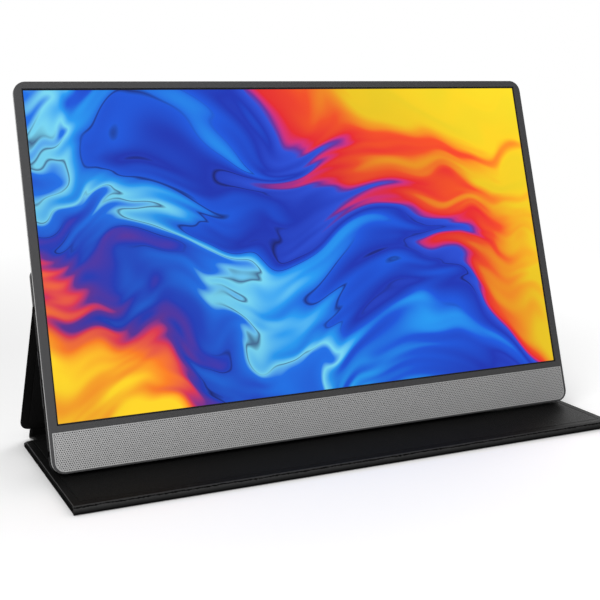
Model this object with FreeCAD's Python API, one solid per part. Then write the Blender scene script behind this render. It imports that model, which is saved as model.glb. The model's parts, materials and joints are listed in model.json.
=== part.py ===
"""Portable monitor standing in its folding cover.

Frame: +Z up, +X to the viewer's right, the screen faces -Y, origin on the table
below the middle of the object's box. Millimetres.

The monitor is modelled upright in its own frame, with x across, y from the front
face backwards and z from the bottom edge upwards, and is then leaned back. Each
cover panel is modelled with its inner face on y = 0 and its outer face on +y.
"""
import FreeCAD, Part
import math
import os
from FreeCAD import Placement, Rotation, Vector

# Screen and body outline
screen_diagonal = 394.87
screen_aspect = 16 / 9
side_bezel = 5.92
top_bezel = 5.2
chin_height = 28.1
corner_radius = 7.5

# Layers of the thin upper body, front to back
bezel_thickness = 1.0
bezel_flange = 0.45
film_thickness = 0.2
cell_thickness = 0.7
optical_thickness = 0.3
guide_thickness = 0.6
reflector_thickness = 0.15
tray_thickness = 0.25
tape_thickness = 0.2
rear_wall = 1.2

# Rear housing
bulge_depth = 4.6
bulge_height = 94.0
bulge_rounding = 1.5
bulge_top_radius = 3.0
side_wall = 1.8
frame_depth = 2.3
frame_lip = 0.5
bezel_chamfer = 0.3
bevel_land = 0.1
snug_gap = 0.05
part_gap = 0.2

# Chin grille and screen window
grille_height = 22.4
grille_side_inset = 1.7
grille_bottom_inset = 1.0
grille_thickness = 0.8
grille_floor = 1.0
window_margin = 1.0
film_overlap = 0.7

# Display module
cell_side_border = 1.6
cell_top_border = 1.4
tray_bottom = 18.0
tray_wall = 0.3
tray_corner = 0.8
mould_width = 1.2
light_bar_height = 2.8
light_count = 24
light_length = 6.0
light_strip = 0.8
source_board_width = 160.0
source_board_height = 12.0
source_board_thickness = 0.6
source_board_rise = 1.0
steel_strip_length = 320.0
steel_strip_height = 16.0
tape_height = 9.0
tape_length = 330.0
tape_count = 3
tape_strip_gap = 14.3
tape_top_inset = 6.6

# Boards and their screws
board_thickness = 0.8
board_back = 4.7
main_board_length = 110.0
main_board_rise = 3.0
main_board_top_gap = 6.2
boss_radius = 2.2
boss_inset = 3.4
screw_radius = 0.75
screw_hole_radius = 0.8
screw_head_radius = 1.5
screw_head_height = 0.45
screw_depth = 2.4
board_hole_radius = 1.0
chip_size = 16.0
chip_height = 1.2
chip_from_board_end = 48.0
pad_size = 14.0
socket_height = 1.5
panel_socket_length = 22.0
small_socket_length = 7.0
socket_width = 4.5
socket_inset = 2.0
socket_gap = 1.0
ribbon_thickness = 0.25
ribbon_width = 18.0
ribbon_lift = 0.75

# Side sockets up the right side
port_recess = 0.2
port_wall = 0.3
port_gap = 0.1
port_back = 1.0
usb_length = 8.94
usb_height = 3.16
usb_depth = 7.4
usb_tongue_length = 6.7
usb_tongue_height = 0.7
usb_tongue_depth = 4.6
usb_pitch = 14.0
hdmi_length = 11.2
hdmi_height = 3.16
hdmi_depth = 7.6
hdmi_chamfer = 1.0
hdmi_tongue_length = 8.4
hdmi_tongue_height = 0.7
hdmi_tongue_depth = 5.0
hdmi_top_inset = 13.0
hdmi_usb_pitch = 15.0
jack_radius = 1.75
jack_depth = 11.0
jack_length = 12.0
jack_width = 7.0
jack_wall = 0.45
jack_level = 12.0
jack_mouth_gap = 0.05
jack_edge_gap = 0.1

# Keys on the left side
key_level_depth = 6.2
key_height = 2.6
key_proud = 0.3
key_hole_gap = 0.3
key_flange_gap = 0.3
power_from_top = 28.0
power_length = 9.0
power_flange_length = 12.0
power_flange = 0.6
power_stem_width = 2.0
key_pitch = 20.0
menu_length = 17.0
menu_body_length = 14.4
menu_post_radius = 0.7
menu_bore_gap = 0.05
menu_hub_radius = 1.7
menu_pivot_inset = 3.4
menu_nub_offset = 6.0
menu_nub_width = 1.6
stem_end_inset = 4.1
plunger_gap = 0.7
plunger_length = 0.8
plunger_width = 1.4
switch_length = 3.4
switch_width = 4.0
switch_height = 2.3
button_board_width = 14.4
button_board_inset = 5.6
button_board_margin = 8.0

# Loudspeakers, vents and ribs
speaker_length = 54.0
speaker_height = 13.0
speaker_bottom = 4.0
speaker_from_middle = 123.0
speaker_end_radius = 3.0
speaker_lift = 0.4
cone_recess = 0.8
cone_length = 30.0
cone_height = 9.0
sound_slot_count = 7
sound_slot_pitch = 4.2
sound_slot_width = 1.4
sound_slot_length = 8.0
vent_count = 16
vent_pitch = 5.0
vent_width = 1.6
vent_length = 7.0
vent_top_inset = 6.0
rib_thickness = 0.8
rib_height = 1.5
rib_places = (-130.0, -90.0, -50.0, -10.0, 30.0)
rib_bottom = 24.5
rib_top_gap = 12.7
rib_gap = 5.0
cable_from_bottom = 18.0
cable_width = 5.0
cable_bend_run = 14.0
wire_width = 1.6
wire_thickness = 0.8
wire_pitch = 2.4
wire_level = 20.0

# Folding cover
panel_thickness = 2.2
skin_thickness = 0.6
lining_thickness = 0.5
turn_in = 5.0
free_corner = 4.5
foot_corner = 6.0
soft_thickness = 1.0
soft_inset = 6.4
strip_height = 21.7
strip_gap = 2.0
strip_step = 0.2
magnet_count = 6
magnet_length = 34.0
magnet_height = 10.0
magnet_thickness = 2.0
leg_start = 1.5
leg_length = 98.0
leg_margin = 8.9
fold_drop = 1.3
fold_clearance = 0.3
groove_to_crease = 86.5
groove_to_front = 53.0
spine_span = 18.3
hem_depth = 2.6
fold_gap = 0.2
flap_end_span = 11.5
groove_width = 7.0
groove_depth = 0.25
groove_pitch = 20.0
seat_gap = 0.05
flap_magnet_length = 12.0
flap_magnet_height = 6.0
flap_magnet_places = (-140.0, -70.0, 70.0, 140.0)
flap_magnet_inset = 12.0
flap_magnet_thickness = 0.5

# Sizes that follow from those above
diagonal_share = math.hypot(screen_aspect, 1)
screen_width = screen_diagonal * screen_aspect / diagonal_share
screen_height = screen_diagonal / diagonal_share
half_width = screen_width / 2 + side_bezel
body_height = chin_height + screen_height + top_bezel
screen_top = chin_height + screen_height

film_back = bezel_thickness + film_thickness
cell_back = film_back + cell_thickness
optical_back = cell_back + optical_thickness
guide_back = optical_back + guide_thickness
reflector_back = guide_back + reflector_thickness
tray_back = reflector_back + tray_thickness
tape_back = tray_back + tape_thickness
edge_thickness = tape_back + rear_wall
back_bevel = edge_thickness - frame_depth - bevel_land
bulge_back = edge_thickness + bulge_depth
cavity_back = bulge_back - rear_wall
inner_half = half_width - side_wall
cavity_top = bulge_height - side_wall

cell_half = screen_width / 2 + cell_side_border
cell_top = screen_top + cell_top_border
mould_half = cell_half + part_gap
mould_bottom = tray_bottom + tray_wall
mould_top = cell_top + part_gap
tray_half = mould_half + tray_wall
tray_top = mould_top + tray_wall
guide_half = mould_half - mould_width - part_gap
light_bottom = mould_bottom + mould_width + part_gap
guide_bottom = light_bottom + light_bar_height
guide_top = mould_top - mould_width - part_gap

board_front = board_back - board_thickness
main_board_right = inner_half - part_gap
main_board_left = main_board_right - main_board_length
source_board_bottom = tray_bottom + source_board_rise
source_board_top = source_board_bottom + source_board_height
source_board_back = tray_back + source_board_thickness
main_board_bottom = source_board_top + main_board_rise
main_board_top = cavity_top - main_board_top_gap
hdmi_level = main_board_top - hdmi_top_inset
usb_upper_level = hdmi_level - hdmi_usb_pitch
usb_lower_level = usb_upper_level - usb_pitch
cable_level = main_board_bottom + cable_from_bottom
power_level = bulge_height - power_from_top
menu_level = power_level - key_pitch
chip_x = main_board_left + chip_from_board_end
chip_z = (main_board_bottom + main_board_top) / 2
chip_back = board_back + chip_height
speaker_socket_level = cable_level + small_socket_length + socket_gap
panel_socket_left = main_board_left + 2 * boss_inset + socket_inset
socket_low = main_board_bottom + socket_inset
source_board_right = panel_socket_left + panel_socket_length + socket_inset
button_board_left = -half_width + button_board_inset
button_board_right = button_board_left + button_board_width
button_board_bottom = menu_level - menu_nub_offset - button_board_margin
button_board_top = power_level + button_board_margin
key_face = -half_width - key_proud
stem_end = -half_width + stem_end_inset
plunger_face = stem_end + plunger_gap
switch_face = plunger_face + plunger_length
switch_depth = board_back + switch_height / 2
jack_level_depth = edge_thickness + jack_radius + jack_mouth_gap + jack_edge_gap
port_level_depth = board_back + usb_height / 2

strip_bottom = bulge_height + strip_gap
strip_back = bulge_back - strip_step
fold_level = bulge_height - fold_drop
fold_depth = bulge_back + fold_clearance
roll_radius = panel_thickness + fold_gap / 2
cover_top = 2 * roll_radius
leg_reach = leg_start + leg_length + leg_margin
soft_half = half_width - soft_inset

# The stand's triangle: rounded bottom edge on the cover, top fold, crease at the foot
cover_depth = groove_to_front + groove_to_crease + soft_thickness / 2
front_y = -cover_depth / 2
rest_y = front_y + groove_to_front
crease_y = rest_y + groove_to_crease
crease_z = soft_thickness / 2
rest_level = bulge_rounding
rest_depth = bulge_back - bulge_rounding
rest_z = cover_top + seat_gap + bulge_rounding
rise = rest_z - crease_z
body_side = math.hypot(fold_level - rest_level, fold_depth - rest_depth)
leg_side = math.hypot(panel_thickness / 2, leg_reach)
base_side = math.hypot(groove_to_crease, rise)
rest_cosine = (body_side**2 + base_side**2 - leg_side**2) / (2 * body_side * base_side)
body_direction = math.acos(rest_cosine) - math.atan2(rise, groove_to_crease)
fold_y = rest_y + body_side * math.cos(body_direction)
fold_z = rest_z + body_side * math.sin(body_direction)
body_turn = body_direction - math.atan2(fold_level - rest_level, fold_depth - rest_depth)
leg_direction = math.atan2(crease_z - fold_z, crease_y - fold_y)
leg_turn = leg_direction - math.atan2(-leg_reach, panel_thickness / 2)
panel_rear_y = crease_y - spine_span
panel_front_y = front_y + hem_depth
roll_y = front_y + roll_radius
flap_rear_y = crease_y - flap_end_span


def turned(angle, y, z):
    """Placement turned about X by an angle in radians, with its origin at y, z."""
    return Placement(Vector(0, y, z), Rotation(Vector(1, 0, 0), math.degrees(angle)))


body_turned = turned(body_turn, 0, 0)
rest_offset = body_turned.multVec(Vector(0, rest_depth, rest_level))
body_place = turned(body_turn, rest_y - rest_offset.y, rest_z - rest_offset.z)
leg_place = turned(leg_turn, fold_y, fold_z)
base_place = turned(-math.pi / 2, 0, cover_top)
flap_place = turned(math.pi / 2, 0, 0)


def rounded(radius, inset):
    """Corner radius of an outline drawn inside another by an inset."""
    return max(radius - inset, 0)


def outline(x0, x1, z0, z1, y, radii):
    """Closed rectangle at one depth, with radii at bottom left, bottom right, top right, top left."""
    corners = (
        (x0, z0, 1, 1, radii[0]),
        (x1, z0, -1, 1, radii[1]),
        (x1, z1, -1, -1, radii[2]),
        (x0, z1, 1, -1, radii[3]),
    )
    edges = []
    ends = []
    for index, (x, z, sx, sz, radius) in enumerate(corners):
        along_x = Vector(x + sx * radius, y, z)
        along_z = Vector(x, y, z + sz * radius)
        first, last = (along_z, along_x) if index % 2 == 0 else (along_x, along_z)
        ends.append((first, last))
        if radius > 0:
            cut = radius * (1 - math.sqrt(0.5))
            middle = Vector(x + sx * cut, y, z + sz * cut)
            edges.append(Part.Arc(first, middle, last).toShape())
    for index in range(4):
        start = ends[index][1]
        stop = ends[(index + 1) % 4][0]
        edges.append(Part.LineSegment(start, stop).toShape())
    return Part.Wire(Part.__sortEdges__(edges))


def slab(x0, x1, z0, z1, y0, y1, radii=(0, 0, 0, 0)):
    """Flat piece between two depths with a rounded outline."""
    return Part.Face(outline(x0, x1, z0, z1, y0, radii)).extrude(Vector(0, y1 - y0, 0))


def inset_slab(inset, y0, y1, z0=None, z1=None, radii=None):
    """Flat piece inside the body's outline by an inset."""
    low = inset if z0 is None else z0
    high = body_height - inset if z1 is None else z1
    corner = rounded(corner_radius, inset)
    return slab(inset - half_width, half_width - inset, low, high, y0, y1, radii or (corner,) * 4)


def bar(x0, x1, y, z, height, length):
    """Round-ended bar along x: its height lies along y and its length along z."""
    half = height / 2
    straight = length / 2 - half
    points = [
        Vector(x0, y - half, z - straight),
        Vector(x0, y, z - length / 2),
        Vector(x0, y + half, z - straight),
        Vector(x0, y + half, z + straight),
        Vector(x0, y, z + length / 2),
        Vector(x0, y - half, z + straight),
    ]
    edges = [
        Part.Arc(*points[:3]).toShape(),
        Part.LineSegment(points[2], points[3]).toShape(),
        Part.Arc(*points[3:]).toShape(),
        Part.LineSegment(points[5], points[0]).toShape(),
    ]
    return Part.Face(Part.Wire(edges)).extrude(Vector(x1 - x0, 0, 0))


def slot(x, z, width, length, y0, y1):
    """Upright slot cutter through the rear wall."""
    return slab(x - width / 2, x + width / 2, z - length / 2, z + length / 2, y0, y1)


def rod(x0, x1, y, z, radius):
    """Round bar along x."""
    return Part.makeCylinder(radius, x1 - x0, Vector(x0, y, z), Vector(1, 0, 0))


def post(x, z, y0, y1, radius):
    """Round bar along y."""
    return Part.makeCylinder(radius, y1 - y0, Vector(x, y0, z), Vector(0, 1, 0))


def prism(points, x0, x1):
    """Straight-sided section of y, z points drawn along x."""
    wire = Part.makePolygon([Vector(x0, y, z) for y, z in points + points[:1]])
    return Part.Face(wire).extrude(Vector(x1 - x0, 0, 0))


def band(points, thickness):
    """Outline of a ribbon of even thickness along a line of 2D points."""
    sides = ([], [])
    for index, point in enumerate(points):
        normals = []
        for start, stop in zip(points[max(index - 1, 0):], points[max(index - 1, 0) + 1:index + 2]):
            run = math.hypot(stop[0] - start[0], stop[1] - start[1])
            normals.append(((start[1] - stop[1]) / run, (stop[0] - start[0]) / run))
        total = [sum(parts) for parts in zip(*normals)]
        share = thickness / 2 * len(normals) / (total[0] ** 2 + total[1] ** 2)
        for side, sign in zip(sides, (1, -1)):
            side.append((point[0] + sign * share * total[0], point[1] + sign * share * total[1]))
    return sides[0] + sides[1][::-1]


def fused(shapes):
    """One solid from pieces that join."""
    return shapes[0].fuse(shapes[1:]).removeSplitter()


def group(shapes):
    """Separate solids kept together in one node."""
    return Part.makeCompound(shapes)


def save(name, shape, place=None):
    """Write one node in the object's frame."""
    placed = shape.copy()
    if place is not None:
        placed.Placement = place.multiply(placed.Placement)
    placed.exportStep("parts/" + name + ".step")


def grille_outline(inset, y0, y1):
    """The chin grille's form, drawn in by an inset."""
    corner = rounded(corner_radius, grille_side_inset + inset)
    side = grille_side_inset + inset - half_width
    low = grille_bottom_inset + inset
    high = grille_bottom_inset + grille_height - inset
    return slab(side, -side, low, high, y0, y1, (corner, corner, 0, 0))


def front_bezel():
    """Frame round the screen: a thin flange covers the edge frame, and a chin pocket takes the grille."""
    flange = inset_slab(0, 0, bezel_flange)
    front_edges = [edge for edge in flange.Edges if edge.BoundBox.YMax < bezel_chamfer]
    flange = flange.makeChamfer(bezel_chamfer, front_edges)
    seat = inset_slab(frame_lip + snug_gap, bezel_flange, bezel_thickness)
    chin = inset_slab(side_wall + part_gap, bezel_thickness, grille_thickness + grille_floor,
                      z1=tray_bottom - part_gap, radii=(rounded(corner_radius, side_wall),) * 2 + (0, 0))
    window_half = screen_width / 2 + window_margin
    window = slab(-window_half, window_half, chin_height - window_margin, screen_top + window_margin,
                  0, bezel_thickness)
    return fused([flange, seat, chin]).cut([window, grille_outline(0, 0, grille_thickness)])


def chin_grille():
    """Thin trim plate across the chin."""
    return grille_outline(snug_gap, 0, grille_thickness)


def edge_frame():
    """Pale band round the sides: a ledge holds the bezel and a thin lip rings its seat."""
    ring = inset_slab(0, bezel_flange, frame_depth)
    return ring.cut([inset_slab(frame_lip, bezel_flange, bezel_thickness),
                     inset_slab(side_wall, bezel_thickness, frame_depth)])


def main_board_places():
    """Screw places at the main board's free end; the side sockets seat its other end in the wall."""
    x = main_board_left + boss_inset
    return [(x, main_board_bottom + boss_inset), (x, main_board_top - boss_inset)]


def button_board_places():
    """Screw places of the button board."""
    x = button_board_right - boss_inset
    return [(x, button_board_bottom + boss_inset), (x, button_board_top - boss_inset)]


def rear_ribs():
    """Stiffening ribs on the inside of the rear wall, broken where the flat cable crosses."""
    ribs = []
    gap = cable_width / 2 + rib_gap
    spans = ((rib_bottom, cable_level - gap), (cable_level + gap, cavity_top - rib_top_gap))
    for x in rib_places:
        for low, high in spans:
            ribs.append(slab(x - rib_thickness / 2, x + rib_thickness / 2, low, high,
                             cavity_back - rib_height, cavity_back + snug_gap))
    return ribs


def rear_cover():
    """Moulded back: a thin upper wall with bevelled sides, and a deeper lower housing for the boards."""
    upper = inset_slab(0, frame_depth, edge_thickness)
    rear_edges = [edge for edge in upper.Edges if edge.BoundBox.YMin > edge_thickness - snug_gap]
    upper = upper.makeChamfer(back_bevel, rear_edges)
    bottom = (corner_radius,) * 2 + (bulge_top_radius,) * 2
    lower = slab(-half_width, half_width, 0, bulge_height, frame_depth, bulge_back, bottom)
    back_edges = [edge for edge in lower.Edges if edge.BoundBox.YMin > bulge_back - bulge_rounding]
    lower = lower.makeFillet(bulge_rounding, back_edges)
    inner = [rounded(radius, side_wall) for radius in bottom]
    cavity = slab(-inner_half, inner_half, side_wall, cavity_top, tape_back, cavity_back, inner)
    cover = fused([upper, lower]).cut([cavity, inset_slab(side_wall, frame_depth, tape_back)])
    places = main_board_places() + button_board_places()
    bosses = [post(x, z, board_back, cavity_back + snug_gap, boss_radius) for x, z in places]
    pivot_x = -half_width + menu_pivot_inset
    pivot = post(pivot_x, menu_level, board_back + part_gap, cavity_back + snug_gap, menu_post_radius)
    cover = fused([cover, pivot] + bosses + rear_ribs())
    cuts = [post(x, z, board_back, board_back + screw_depth + part_gap, screw_hole_radius)
            for x, z in places]
    wall = (inner_half - part_gap, half_width + part_gap)
    for level in (usb_lower_level, usb_upper_level):
        cuts.append(bar(*wall, port_level_depth, level, usb_height + 2 * port_gap,
                        usb_length + 2 * port_gap))
    cuts.append(prism(hdmi_points(port_gap), *wall))
    for level, length in ((power_level, power_length), (menu_level, menu_length)):
        cuts.append(bar(-wall[1], -wall[0], key_level_depth, level, key_height + 2 * key_hole_gap,
                        length + 2 * key_hole_gap))
    cuts.append(rod(-wall[1], -wall[0], jack_level_depth, jack_level, jack_radius + jack_mouth_gap))
    cuts.append(jack_block())
    through = (cavity_back - part_gap, bulge_back + part_gap)
    vent_level = bulge_height - vent_top_inset - vent_length / 2
    for index in range(vent_count):
        x = (index - (vent_count - 1) / 2) * vent_pitch
        cuts.append(slot(x, vent_level, vent_width, vent_length, *through))
    speaker_level = speaker_bottom + speaker_height / 2
    for side in (-1, 1):
        for index in range(sound_slot_count):
            x = side * speaker_from_middle + (index - (sound_slot_count - 1) / 2) * sound_slot_pitch
            cuts.append(slot(x, speaker_level, sound_slot_width, sound_slot_length, *through))
    return cover.cut(cuts)


def screen_film():
    """Front polariser, held behind the window's edge."""
    half = screen_width / 2 + window_margin + film_overlap
    return slab(-half, half, chin_height - window_margin - film_overlap,
                screen_top + window_margin + film_overlap, bezel_thickness, film_back)


def lcd_cell():
    """Glass cell, lying on the moulded frame inside the tray's walls."""
    return slab(-cell_half, cell_half, mould_bottom + part_gap, cell_top, film_back, cell_back)


def guide_sheet(y0, y1):
    """One flat layer of the backlight."""
    return slab(-guide_half, guide_half, guide_bottom, guide_top, y0, y1)


def mould_frame():
    """Moulded ring round the backlight layers, under the cell's edge."""
    half = mould_half - mould_width
    corner = rounded(tray_corner, tray_wall)
    outer = slab(-mould_half, mould_half, mould_bottom, mould_top, cell_back, reflector_back,
                 (corner,) * 4)
    return outer.cut(slab(-half, half, mould_bottom + mould_width, mould_top - mould_width,
                          cell_back, reflector_back))


def panel_tray():
    """Folded sheet tray that holds the display module together."""
    outer = slab(-tray_half, tray_half, tray_bottom, tray_top, film_back, tray_back, (tray_corner,) * 4)
    corner = rounded(tray_corner, tray_wall)
    return outer.cut(slab(-mould_half, mould_half, mould_bottom, mould_top, film_back, reflector_back,
                          (corner,) * 4))


def led_bar():
    """Flexible strip with a row of lamps that face the light guide's lower edge."""
    strip = slab(-guide_half, guide_half, light_bottom, light_bottom + light_strip, optical_back,
                 reflector_back)
    pitch = 2 * guide_half / light_count
    lamps = []
    for index in range(light_count):
        x = (index + 0.5) * pitch - guide_half
        lamps.append(slab(x - light_length / 2, x + light_length / 2, light_bottom,
                          guide_bottom - part_gap / 2, optical_back, guide_back))
    return fused([strip] + lamps)


def panel_tapes():
    """Thin adhesive strips between the tray and the rear wall."""
    lowest = strip_bottom + strip_height + tape_strip_gap
    pitch = (tray_top - tape_top_inset - tape_height - lowest) / (tape_count - 1)
    lows = [lowest + index * pitch for index in range(tape_count)]
    return group([slab(-tape_length / 2, tape_length / 2, low, low + tape_height, tray_back, tape_back)
                  for low in lows])


def magnet_plate():
    """Steel strip inside the rear wall that the cover's magnets hold on to."""
    middle = strip_bottom + strip_height / 2
    return slab(-steel_strip_length / 2, steel_strip_length / 2, middle - steel_strip_height / 2,
                middle + steel_strip_height / 2, tray_back, tape_back)


def source_board():
    """Narrow display driver board on the back of the tray."""
    return slab(source_board_right - source_board_width, source_board_right, source_board_bottom,
                source_board_top, tray_back, source_board_back)


def board_holes(places):
    """Clear holes through a board at its screws."""
    return [post(x, z, board_front, board_back, board_hole_radius) for x, z in places]


def main_board():
    """Board with the sockets along its right end and a hole at each screw."""
    board = slab(main_board_left, main_board_right, main_board_bottom, main_board_top,
                 board_front, board_back)
    return board.cut(board_holes(main_board_places()))


def button_board():
    """Small board behind the keys."""
    board = slab(button_board_left, button_board_right, button_board_bottom, button_board_top,
                 board_front, board_back)
    return board.cut(board_holes(button_board_places()))


def board_screws():
    """Pan-head screws that hold both boards to the rear cover's bosses."""
    screws = []
    for x, z in main_board_places() + button_board_places():
        head = post(x, z, board_front - screw_head_height, board_front, screw_head_radius)
        screws.append(fused([head, post(x, z, board_front, board_back + screw_depth, screw_radius)]))
    return group(screws)


def chip_block(size, y0, y1):
    """Square block over the main chip's centre."""
    return slab(chip_x - size / 2, chip_x + size / 2, chip_z - size / 2, chip_z + size / 2, y0, y1)


def board_sockets():
    """Display, key and loudspeaker connectors on the main board."""
    back = board_back + socket_height
    sockets = [slab(panel_socket_left, panel_socket_left + panel_socket_length, socket_low,
                    socket_low + socket_width, board_back, back)]
    left = main_board_left + socket_inset
    for level in (cable_level, speaker_socket_level):
        sockets.append(slab(left, left + socket_width, level - small_socket_length / 2,
                            level + small_socket_length / 2, board_back, back))
    return group(sockets)


def panel_cable():
    """Flat cable from the driver board round the main board's lower edge to its connector."""
    half = ribbon_thickness / 2
    start = source_board_bottom + source_board_height / 2
    out = board_back + ribbon_lift
    edge = main_board_bottom - part_gap - ribbon_lift
    path = [(source_board_back + half, start), (source_board_back + half, edge - ribbon_lift),
            (out, edge), (out, socket_low)]
    left = panel_socket_left + (panel_socket_length - ribbon_width) / 2
    return prism(band(path, ribbon_thickness), left, left + ribbon_width)


def button_cable():
    """Flat cable along the rear wall between the two boards."""
    half = ribbon_thickness / 2
    path = [(button_board_right - boss_inset, board_back + half),
            (button_board_right, board_back + half),
            (button_board_right + cable_bend_run, cavity_back - half),
            (main_board_left - cable_bend_run, cavity_back - half),
            (main_board_left - part_gap, board_back + ribbon_lift),
            (main_board_left + socket_inset, board_back + ribbon_lift)]
    low = cable_level - cable_width / 2
    points = [Vector(x, y, low) for x, y in band(path, ribbon_thickness)]
    return Part.Face(Part.makePolygon(points + points[:1])).extrude(Vector(0, 0, cable_width))


def speaker_wires():
    """Flat twin leads from both loudspeakers along the rear wall to the main board."""
    wires = []
    for side, order in ((1, 0), (-1, 1)):
        x = side * (speaker_from_middle - speaker_length / 4)
        level = wire_level + order * wire_pitch
        drop = main_board_left - part_gap - wire_width / 2 - order * wire_pitch
        start = (x, speaker_bottom + speaker_height)
        path = [start, (x, level), (drop, level), (drop, speaker_socket_level)]
        points = [Vector(px, cavity_back - wire_thickness, pz) for px, pz in band(path, wire_width)]
        face = Part.Face(Part.makePolygon(points + points[:1]))
        wires.append(face.extrude(Vector(0, wire_thickness, 0)))
    return group(wires)


def usb_port(level):
    """Socket shell with its centre tongue."""
    outer_x = half_width - port_recess
    inner_x = outer_x - usb_depth
    shell = bar(inner_x, outer_x, port_level_depth, level, usb_height, usb_length)
    hollow = bar(inner_x + port_back, outer_x, port_level_depth, level, usb_height - 2 * port_wall,
                 usb_length - 2 * port_wall)
    half = usb_tongue_length / 2
    tongue = slab(inner_x + port_back, inner_x + port_back + usb_tongue_depth, level - half, level + half,
                  port_level_depth - usb_tongue_height / 2, port_level_depth + usb_tongue_height / 2)
    return fused([shell.cut(hollow), tongue])


def hdmi_points(grow):
    """Section of the small video socket, with two cut corners on its rear side."""
    half = hdmi_length / 2 + grow
    near = board_back - grow
    far = board_back + hdmi_height + grow
    return [(near, hdmi_level - half), (far - hdmi_chamfer, hdmi_level - half),
            (far, hdmi_level - half + hdmi_chamfer), (far, hdmi_level + half - hdmi_chamfer),
            (far - hdmi_chamfer, hdmi_level + half), (near, hdmi_level + half)]


def hdmi_port():
    """Small video socket with its tongue."""
    outer_x = half_width - port_recess
    inner_x = outer_x - hdmi_depth
    shell = prism(hdmi_points(0), inner_x, outer_x)
    hollow = prism(hdmi_points(-port_wall), inner_x + port_back, outer_x)
    half = hdmi_tongue_length / 2
    middle = board_back + hdmi_height / 2
    tongue = slab(inner_x + port_back, inner_x + port_back + hdmi_tongue_depth, hdmi_level - half,
                  hdmi_level + half, middle - hdmi_tongue_height / 2, middle + hdmi_tongue_height / 2)
    return fused([shell.cut(hollow), tongue])


def jack_block():
    """Outside of the headphone socket, which also sinks into the rear wall."""
    half = jack_radius + jack_wall
    return slab(-inner_half, -inner_half + jack_length, jack_level - jack_width / 2,
                jack_level + jack_width / 2, jack_level_depth - half, jack_level_depth + half)


def audio_jack():
    """Headphone socket with its blind bore."""
    bore = rod(-inner_half, -inner_half + jack_depth, jack_level_depth, jack_level, jack_radius)
    return jack_block().cut(bore)


def switch_block(level):
    """Side-pressed switch with its plunger."""
    half = switch_width / 2
    body = slab(switch_face, switch_face + switch_length, level - half, level + half,
                board_back, board_back + switch_height)
    reach = plunger_width / 2
    plunger = slab(plunger_face, switch_face, level - reach, level + reach, switch_depth - reach,
                   switch_depth + reach)
    return fused([body, plunger])


def side_switches():
    """One switch for the power key and one at each end of the menu rocker."""
    levels = (power_level, menu_level - menu_nub_offset, menu_level + menu_nub_offset)
    return group([switch_block(level) for level in levels])


def stem_bar(x0, level, width):
    """Square bar on a key that ends in front of its switch."""
    half = width / 2
    return slab(x0, stem_end, level - half, level + half, switch_depth - half, switch_depth + half)


def power_button():
    """Key cap with a flange behind the wall and a stem towards its switch."""
    flange_x = -inner_half + key_flange_gap
    cap = bar(key_face, flange_x, key_level_depth, power_level, key_height, power_length)
    flange = bar(flange_x, flange_x + power_flange, key_level_depth, power_level, key_height,
                 power_flange_length)
    stem = stem_bar(flange_x + power_flange, power_level, power_stem_width)
    return fused([cap, flange, stem])


def menu_rocker():
    """Rocking key on a moulded post, with a nub for each of its two switches."""
    pivot_x = -half_width + menu_pivot_inset
    low, high = board_back + 2 * part_gap, cavity_back - part_gap
    cap = bar(key_face, -inner_half + part_gap, key_level_depth, menu_level, key_height, menu_length)
    beam = bar(-inner_half + part_gap, pivot_x, key_level_depth, menu_level, key_height, menu_body_length)
    hub = post(pivot_x, menu_level, low, high, menu_hub_radius)
    nubs = [stem_bar(-inner_half + part_gap, menu_level + offset, menu_nub_width)
            for offset in (-menu_nub_offset, menu_nub_offset)]
    key = fused([cap, beam, hub] + nubs)
    return key.cut(post(pivot_x, menu_level, board_back, cavity_back, menu_post_radius + menu_bore_gap))


def speaker(side):
    """Flat loudspeaker box with a recessed cone that faces the slots in the rear cover."""
    x = side * speaker_from_middle
    half = speaker_length / 2
    box = slab(x - half, x + half, speaker_bottom, speaker_bottom + speaker_height,
               tape_back + speaker_lift, cavity_back, (speaker_end_radius,) * 4)
    middle = speaker_bottom + speaker_height / 2
    reach = cone_height / 2
    cone = slab(x - cone_length / 2, x + cone_length / 2, middle - reach, middle + reach,
                cavity_back - cone_recess, cavity_back, (reach - snug_gap,) * 4)
    return box.cut(cone)


def cover_panel(z0, z1, thickness, radii):
    """Skin with its edges turned in, the stiff board inside it and the lining over the turned edge."""
    skin = slab(-half_width, half_width, z0, z1, 0, thickness, radii)
    inner = [rounded(radius, skin_thickness) for radius in radii]
    board = slab(skin_thickness - half_width, half_width - skin_thickness, z0 + skin_thickness,
                 z1 - skin_thickness, lining_thickness, thickness - skin_thickness, inner)
    lining = slab(turn_in - half_width, half_width - turn_in, z0 + turn_in, z1 - turn_in,
                  0, lining_thickness)
    return skin.cut([board, lining]), board, lining


def strip_panel():
    """Attachment strip on the monitor's back, with bar magnets set into its core."""
    thickness = strip_back - edge_thickness
    radii = (0, 0, free_corner, free_corner)
    skin, core, lining = cover_panel(strip_bottom, strip_bottom + strip_height, thickness, radii)
    middle = strip_bottom + strip_height / 2
    pitch = 2 * half_width / magnet_count
    magnets = []
    for index in range(magnet_count):
        x = (index + 0.5) * pitch - half_width
        magnets.append(slab(x - magnet_length / 2, x + magnet_length / 2,
                            middle - magnet_height / 2, middle + magnet_height / 2,
                            lining_thickness, lining_thickness + magnet_thickness))
    return skin, core.cut(magnets), lining, group(magnets)


def grooved_lining(lining):
    """Base lining with two pressed grooves that the monitor's bottom edge stands in."""
    cuts = []
    for place in (rest_y, rest_y + groove_pitch):
        cuts.append(slab(-half_width, half_width, place - groove_width / 2, place + groove_width / 2,
                         0, groove_depth))
    return lining.cut(cuts)


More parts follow.
